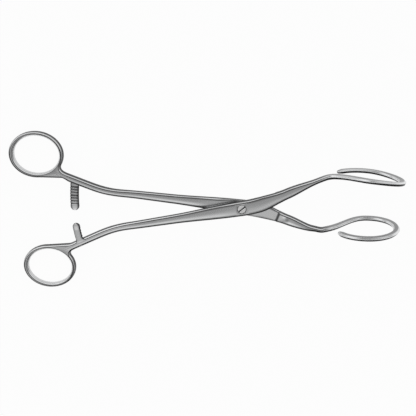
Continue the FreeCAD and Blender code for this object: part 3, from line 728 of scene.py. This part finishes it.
def ratchet_stations(arm, root_y, tip_y, half):
    """Distances from X, from the root inside the shank to the tip, dense at the edges of the teeth."""
    first = arm["ratchet_side"] + TOOTH_LAND
    marks = np.array([-STEEP, 0.0, GENTLE]) * TOOTH_PITCH
    edges = first + TOOTH_PITCH * np.arange(arm["teeth"])[:, None, None] + marks[None, :, None]
    edges = (edges + np.array([-EDGE_SOFT, EDGE_SOFT])).reshape(-1)
    plain = np.linspace(root_y, tip_y, 40)
    plain = plain[np.abs(plain[:, None] - edges[None, :]).min(1) > EDGE_CLEAR]
    tip = tip_y - half * np.sin(np.radians(np.linspace(8, 88, 14)))
    return np.sort(np.concatenate([plain, edges, tip]))[::-1]


def fillet_run(distance, radius):
    """Quarter circle: the radius minus the root of its square less the square of what is left of it."""
    left = np.clip(1.0 - distance / radius, 0.0, 1.0)
    return radius * (1.0 - np.sqrt(np.clip(1.0 - left ** 2, 0.0, 1.0)))


def ratchet_grid(arm):
    """Section of the ratchet bar at each station of its arc, wider at the root and drawn in at the tip.

    The tip is a half circle: its width is half times the root of 1 less the squared share of the way to it."""
    half = arm["ratchet_width"] / 2
    middle = RATCHET_OUTER - half
    root = middle * math.asin(handle_side(arm, middle) / middle)
    tip = arm["ratchet_side"] + half
    y = ratchet_stations(arm, root + ROOT_INSIDE, tip, half)
    end = np.sqrt(np.clip(1.0 - (np.clip(tip - y, 0, half) / half) ** 2, 0.0, 1.0))
    depth, dome = root - y, 1.0 - end
    plus = half * end + fillet_run(depth - INNER_FROM, arm["inner_fillet"]) * (depth > 1.0)
    plus = plus * (ROOT_NARROW + (1.0 - ROOT_NARROW) * over(depth, -ROOT_INSIDE, ROOT_WIDENS))
    minus = half * end + fillet_run(depth - OUTER_FROM, arm["outer_fillet"])
    low = -HANDLE_DEPTH / 2 + LOW_PLAY + LOW_DOME * dome + ROOT_RAISED * (1.0 - over(depth, *ROOT_SINKS))
    groove = tooth_drop(arm, y)
    high = -PLAY - groove - HIGH_DOME * dome
    soft = BAR_FACET * (0.4 + 0.6 * end)
    plain = np.zeros_like(y)
    section = closed_section(plus, minus, low, high, soft, np.minimum(soft, TOOTH_FACET), plain, plain,
                             BAR_ROUNDING)
    angle = y / middle
    centre = np.stack([-middle * np.cos(angle), middle * np.sin(angle), 0 * y], -1)
    inward = np.stack([np.cos(angle), -np.sin(angle), 0 * y], -1)
    points = centre[:, None] + inward[:, None] * section[..., :1]
    points[..., 2] += section[..., 1]
    caps = [np.repeat(points[i].mean(0, keepdims=True), points.shape[1], 0)[None] for i in (0, -1)]
    # painted shade round the section and in the grooves, painted highlight at the tip
    shade = np.repeat(round_section(RATCHET_EDGE_SHADE, RATCHET_EDGE_SHADE)[None], len(y), 0)
    shade[:, [LOWER, MINUS - 1, UPPER, LAST - 1]] = BORDER_TONE
    shade[:, UPPER - 1:] *= np.where(groove > GROOVE_FROM, GROOVE_SHADE, LAND_TONE)[:, None]
    at_tip = np.where(depth > root - tip - half * TIP_FROM, TIP_HIGHLIGHT, 1.0)[:, None]
    shade[:, np.r_[LOWER + 1:MINUS - 1, UPPER + 1:LAST - 1]] *= at_tip
    shade[:, 0] = shade[:, -1]
    shade = np.concatenate([shade[:1], shade, shade[-1:]])
    return np.concatenate([caps[0], points, caps[1]]), shade


def ratchet(arm, body):
    """One ratchet bar as a closed piece that belongs to its arm."""
    points, shade = ratchet_grid(arm)
    return solid_piece(arm["name"] + "_ratchet", [patch(points, shade)], arm, body)


rear_ratchet = ratchet(REAR, "rear_half")
front_ratchet = ratchet(FRONT, "front_half")

# %% [markdown]
# ## The pivot screw
# A slotted screw with a low head lies flush in the front arm, and its end is ground off level with the rear
# one. A cylinder with a Boolean slot would do from afar. Here the head's face is a grid of rows across the
# slot: where a row falls in the slot it drops to the floor, and each edge has a small radius.

# %% Head, slot and stem
HEAD_RADIUS, HEAD_RIM, HEAD_TOP = 2.5, 0.25, JOINT_HALF
SLOT_HALF, SLOT_DEPTH, SLOT_ANGLE, SLOT_SOFT = 0.35, 0.6, 38.0, 0.05
# painted shade in the slot, on its lips and round the head's rim, and a little on the stem
SLOT_SHADE, LIP_SHADE, STEM_TONE = 0.06, 0.4, 0.85
# the stem's circles as radius and height, from under the head's rim to the closed end
STEM = [(2.5, 2.09), (2.46, 2.05), (1.69, 2.05), (1.65, 2.0), (1.65, -3.1), (1.55, -3.2), (0.8, -3.2), (0.0, -3.2)]


def screw_face():
    """Rows across the slot: half chord is the root of the radius squared less the row's distance squared."""
    side = np.concatenate([[SLOT_HALF + SLOT_SOFT], np.linspace(0.6, HEAD_RADIUS - HEAD_RIM, 9),
                           HEAD_RADIUS - np.array([0.12, 0.04, 0.0])])
    b = np.concatenate([-side[::-1], [-SLOT_HALF, -SLOT_HALF, 0.0, SLOT_HALF, SLOT_HALF], side])
    floor = np.zeros_like(b)
    n = len(side)
    floor[n:n + 5] = [SLOT_SOFT, SLOT_DEPTH, SLOT_DEPTH, SLOT_DEPTH, SLOT_SOFT]
    outer, inner = [np.sqrt(np.clip(r ** 2 - b ** 2, 0, None)) for r in (HEAD_RADIUS, HEAD_RADIUS - HEAD_RIM)]
    across = np.linspace(-1, 1, 9)
    a = np.concatenate([-outer[:, None], inner[:, None] * across, outer[:, None]], 1)
    radius = np.sqrt(a ** 2 + b[:, None] ** 2)
    drop = np.clip(radius - (HEAD_RADIUS - HEAD_RIM), 0, HEAD_RIM)
    z = HEAD_TOP - np.maximum(drop, floor[:, None])
    return np.stack([a, np.broadcast_to(b[:, None], a.shape), z], -1), floor


def screw_patches():
    """The slotted face, and the side and stem carried down from its own outline."""
    face, floor = screw_face()
    rim = np.concatenate([face[:, -1], face[::-1, 0][1:]])
    angle = np.arctan2(rim[:, 1], rim[:, 0])
    stem = [rim] + [circle(r, angle, z) for r, z in STEM]
    turn = math.radians(SLOT_ANGLE)
    spin = np.array([[math.cos(turn), math.sin(turn), 0], [-math.sin(turn), math.cos(turn), 0], [0, 0, 1]])
    row_tone = np.where(floor > SLOT_DEPTH / 2, SLOT_SHADE, np.where(floor > 0, LIP_SHADE, 1.0))
    shade = row_tone[:, None] * np.ones(face.shape[1])
    shade[:, [0, -1]] *= LIP_SHADE
    return [patch(face @ spin, shade), patch(np.stack(stem) @ spin, STEM_TONE)]


screw = solid_piece("slotted_pivot_screw", screw_patches(), REAR, "rear_half")
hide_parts("pivot_screw")

# %% [markdown]
# ## Shader maths as plain expressions
# Materials are node trees, and wiring them by hand hides the idea. The small class below wraps one socket,
# so a sum or a product in Python adds its Math node, and one method makes every other node.

# %% A socket that can be added and multiplied
class Shade:
    """One output socket of a node tree. Operators add Math nodes, and node() adds any other node."""

    def __init__(self, tree, socket=None):
        self.tree, self.socket = tree, socket

    def node(self, kind, sockets=None, out=0, **settings):
        """A new node with its settings and inputs, as the Shade of one of its outputs."""
        made = self.tree.nodes.new("ShaderNode" + kind)
        for key, value in settings.items():
            setattr(made, key, value)
        for key, value in (sockets or {}).items():
            if isinstance(value, Shade):
                self.tree.links.new(value.socket, made.inputs[key])
            else:
                made.inputs[key].default_value = value
        return Shade(self.tree, made.outputs[out] if len(made.outputs) else None)

    def ramp(self, stops):
        """Grey colour ramp over this socket, from pairs of a place and a grey."""
        shown = self.node("ValToRGB", {"Fac": self})
        elements = shown.socket.node.color_ramp.elements
        while len(elements) < len(stops):
            elements.new(1.0)
        for element, (place, grey) in zip(list(elements), stops):
            element.position, element.color = place, (grey, grey, grey, 1.0)
        return shown

    def mix(self, share, first, second, **settings):
        """Colour that goes from the first to the second as the share goes from 0 to 1."""
        return self.node("Mix", {0: share, 6: first, 7: second}, out=2, data_type="RGBA", **settings)

    def maths(self, operation, first, second):
        """Math node with two inputs."""
        return self.node("Math", {0: first, 1: second}, operation=operation)

    def __add__(self, other):
        return self.maths("ADD", self, other)

    def __sub__(self, other):
        return self.maths("SUBTRACT", self, other)

    def __rsub__(self, other):
        return self.maths("SUBTRACT", other, self)

    def __mul__(self, other):
        return self.maths("MULTIPLY", self, other)

    __radd__, __rmul__ = __add__, __mul__


def empty_tree(owner):
    """The emptied node tree of a material or a world, ready to build on."""
    owner.use_nodes = True
    owner.node_tree.nodes.clear()
    return Shade(owner.node_tree)


# %% [markdown]
# ## Satin steel
# The arms are stainless steel with a satin finish: fine brushing along each bar and a slightly uneven tone.
# On top of that comes painted light on the facets and painted shade on the side walls. An image texture
# would fix the scale and show seams. Noise stretched along the piece's own map gives the brushing, noise in
# Object coordinates gives the grain and the clouds, and the tone attribute carries the painted light and shade.

# %% Steel material
SCRATCHES = [(0.0, 0.0), (0.66, 0.0), (0.74, 1.0)]


def brushed_steel(name, colour, rough, brushing):
    """Base colour is the steel times the tone of painted light and shade times clouds; roughness and bump follow
    brushing and grain.
    """
    material = bpy.data.materials.new(name)
    s = empty_tree(material)
    tone = s.node("Attribute", out="Fac", attribute_name="tone")
    along = s.node("UVMap", uv_map="brushing")
    place = s.node("TexCoord", out="Object")
    streaked = s.node("Mapping", {"Vector": along, "Scale": (90.0, 5200.0, 1.0)})
    streaks = s.node("TexNoise", {"Vector": streaked, "Scale": 1.0, "Detail": 4.0, "Roughness": 0.6})
    hair = s.node("Mapping", {"Vector": along, "Scale": (55.0, 2100.0, 1.0)})
    scratch = s.node("TexNoise", {"Vector": hair, "Scale": 1.0, "Detail": 2.0}).ramp(SCRATCHES)
    grain = s.node("TexNoise", {"Vector": place, "Scale": 2600.0, "Detail": 3.0})
    clouds = s.node("TexNoise", {"Vector": place, "Scale": 55.0, "Detail": 3.0})
    level = tone * (0.93 + 0.14 * clouds) * (1.0 - brushing * 0.5 + brushing * streaks) * (1.0 - 0.05 * scratch)
    grey = s.node("CombineColor", {"Red": level, "Green": level, "Blue": level})
    tint = s.mix(1.0, colour, grey, blend_type="MULTIPLY")
    height = streaks * 0.5 + grain * 0.35 - scratch * 0.4
    bump = s.node("Bump", {"Height": height, "Strength": 0.18, "Distance": 0.00004})
    roughness = rough + 0.1 * streaks + 0.05 * grain + 0.12 * (1.0 - tone) - 0.04 * scratch
    s.node("OutputMaterial", {"Surface": s.node("BsdfPrincipled", {
        "Base Color": tint, "Metallic": 1.0, "Roughness": roughness, "Normal": bump})})
    return material


arm_steel = brushed_steel("satin_steel", (0.74, 0.745, 0.75, 1.0), 0.2, 0.12)
# a darker, rougher copy of the steel, used on the rear ratchet alone
ratchet_steel = brushed_steel("ratchet_steel", (0.66, 0.665, 0.67, 1.0), 0.26, 0.06)
screw_steel = brushed_steel("screw_steel", (0.95, 0.95, 0.95, 1.0), 0.48, 0.05)
for piece, finish in ((rear_forging, arm_steel), (front_forging, arm_steel), (rear_ratchet, ratchet_steel),
                      (front_ratchet, arm_steel), (screw, screw_steel)):
    piece.data.materials.append(finish)
print("materials", [m.name for m in bpy.data.materials if m.users])

# %% [markdown]
# ## Table, light and camera
# The tool lies on a white table: the rings' undersides and the lowest points of the loops touch it, so the
# table is slightly tilted in the frame of the tool. Metal shows what stands round it. The world is plain
# white to the camera, and to reflections it is a studio with a white table, light walls and a grey ceiling.

# %% White table
TABLE_LEVEL, TABLE_SLOPE, RINGS_AT, TABLE_REACH = 0.0012, 0.079, -0.118, 2.0
TABLE_SHINE = 0.96


def table_height(x):
    """Plane through the rings' undersides and the loops' lowest points: level minus slope times the distance."""
    return TABLE_LEVEL - TABLE_SLOPE * (x - RINGS_AT)


corners = [(x * TABLE_REACH, y * TABLE_REACH, table_height(x * TABLE_REACH))
           for x, y in ((-1, -1), (1, -1), (1, 1), (-1, 1))]
table_mesh = bpy.data.meshes.new("white_table")
table_mesh.from_pydata(corners, [], [(0, 1, 2, 3)])
table = add_object("white_table", table_mesh)
white = bpy.data.materials.new("white_table")
t = empty_tree(white)
shown = t.node("LightPath", out="Is Camera Ray") + t.node("LightPath", out="Is Glossy Ray")
shown = shown + t.node("LightPath", out="Is Transmission Ray")
shown = t.maths("MINIMUM", shown, 1.0)
matt = t.node("BsdfDiffuse", {"Color": (0.85, 0.85, 0.85, 1.0)})
glow = t.node("Emission", {"Color": (1.0, 1.0, 1.0, 1.0), "Strength": 1.0})
t.node("OutputMaterial", {"Surface": t.node("MixShader", {0: shown * TABLE_SHINE, 1: matt, 2: glow})})
table_mesh.materials.append(white)
print("table under the rings", round(table_height(RINGS_AT) * MM_IN_METRE, 2), "mm")

# %% [markdown]
# ## The room that the metal shows
# A plain white room leaves polished steel flat, and a photograph of a room would be an image from outside.
# So the room is four ramps over the height of a direction, from straight down at 0 to straight up at 1: before
# and behind the tool, at its sides and at its ends. Dark bands in a ramp become dark lines along the bars.

# %% World and lamps
world = bpy.data.worlds.new("studio")
bpy.context.scene.world = world
w = empty_tree(world)
direction = w.node("TexCoord", out="Generated")
aside, sideways, upright = [w.node("SeparateXYZ", {"Vector": direction}, out=axis) for axis in "XYZ"]
height = upright * 0.5 + 0.5
SIDE_BEHIND = [(0.0, 0.9), (0.48, 0.9), (0.53, 0.35), (0.6, 0.6), (0.7, 1.0), (0.82, 0.95), (0.88, 0.1),
               (0.94, 0.12), (0.97, 0.34), (1.0, 0.34)]
SIDE_BEFORE = [(0.0, 0.9), (0.5, 0.95), (0.62, 0.95), (0.86, 1.0), (0.93, 0.72), (0.975, 0.36), (1.0, 0.32)]
END_BEHIND = [(0.0, 0.9), (0.5, 0.9), (0.56, 0.5), (0.7, 0.85), (0.84, 0.8), (0.9, 0.5), (0.97, 0.36),
              (1.0, 0.32)]
END_BEFORE = [(0.0, 0.9), (0.49, 0.8), (0.52, 0.06), (0.66, 0.06), (0.82, 0.28), (0.92, 0.4), (0.97, 0.36),
              (1.0, 0.32)]
AT_ENDS = [(0.0, 1.0), (0.24, 1.0), (0.34, 0.0), (0.493, 0.0), (0.565, 1.0)]
LAMP_SIZE = 1.2


def wall_of_room(before, behind):
    """Two ramps over the height of a direction, blended from before to behind by 3 times y plus a half."""
    blend = w.node("Math", {0: sideways * 3.0, 1: 0.5}, operation="ADD", use_clamp=True)
    return w.mix(blend, height.ramp(before), height.ramp(behind))


at_ends = (aside * 0.5 + 0.5).ramp(AT_ENDS)
room = w.mix(at_ends, wall_of_room(SIDE_BEFORE, SIDE_BEHIND), wall_of_room(END_BEFORE, END_BEHIND))
backdrop = w.mix(w.node("LightPath", out="Is Camera Ray"), room, (1.0, 1.0, 1.0, 1.0))
w.node("OutputWorld", {"Surface": w.node("Background", {"Color": backdrop, "Strength": 1.0})})


def soft_lamp(name, place, power):
    """Square area lamp at a place in metres that looks at the screw."""
    data = bpy.data.lights.new(name, "AREA")
    data.size, data.energy = LAMP_SIZE, power
    lamp = add_object(name, data)
    look = Vector(place).normalized()
    lamp.matrix_world = Matrix.Translation(place) @ look.to_track_quat("Z", "Y").to_matrix().to_4x4()


soft_lamp("window_left", (-0.9, 0.5, 0.9), 1.6)
soft_lamp("window_right", (0.8, -0.7, 0.8), 1.0)

# %% Camera
TILT, YAW, ROLL = 19.075, -4.402, 2.619
CAMERA_PLACE = (0.01793, 0.13971, 0.40995)
FOCUS_PIXELS, PICTURE_PIXELS, SENSOR = 740.0, 416.0, 36.0
data = bpy.data.cameras.new("camera")
data.lens, data.sensor_width = FOCUS_PIXELS / PICTURE_PIXELS * SENSOR, SENSOR
data.clip_start, data.clip_end = 0.01, 50.0
camera = add_object("camera", data)
turn = (Matrix.Rotation(math.radians(-ROLL), 4, "Z") @ Matrix.Rotation(math.radians(-YAW), 4, "Y")
        @ Matrix.Rotation(math.radians(-TILT), 4, "X"))
camera.matrix_world = Matrix.Translation(CAMERA_PLACE) @ turn
bpy.context.scene.camera = camera
bpy.context.scene.view_settings.view_transform = "Standard"
print("camera stands", [round(v, 4) for v in camera.location])
